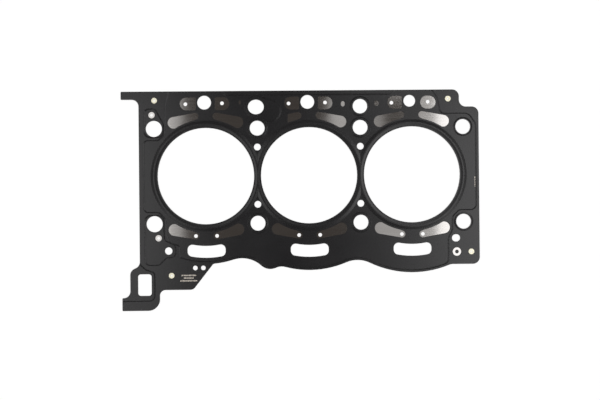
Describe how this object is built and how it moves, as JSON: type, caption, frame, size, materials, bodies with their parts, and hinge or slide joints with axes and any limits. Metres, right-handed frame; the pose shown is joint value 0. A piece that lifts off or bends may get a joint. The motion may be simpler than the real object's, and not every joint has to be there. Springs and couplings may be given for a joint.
{
  "type": "cylinder head gasket",
  "caption": "Multi-layer steel head gasket for one bank of three cylinders, with pressed beads round the bores and windows over a bare steel carrier.",
  "frame": {"origin": "axis of the centre bore, in the plane of the sunk fields of the block-side bead layer", "axes": "+X along the row of bores away from the timing case end, +Y to the edge with the round coolant holes, +Z from the block towards the cylinder head"},
  "size_m": [0.3125, 0.191, 0.002],
  "materials": {
    "layer_coating": "thin black rubber coating, half matt, baked on pressed spring steel",
    "carrier_steel": "bare rolled steel sheet, satin",
    "stopper_steel": "bare thin steel shim",
    "eyelet_steel": "zinc-plated steel with a faint yellow passivation"
  },
  "bodies": {
    "root": {"carrier_sheet": "carrier_steel", "lower_bead_layer": "layer_coating", "stopper_ring_left": "stopper_steel", "stopper_ring_centre": "stopper_steel", "stopper_ring_right": "stopper_steel", "upper_bead_layer": "layer_coating", "eyelet_top_left": "eyelet_steel", "eyelet_top_right": "eyelet_steel", "eyelet_bottom_right": "eyelet_steel", "eyelet_bottom_left": "eyelet_steel"}
  },
  "joints": []
}
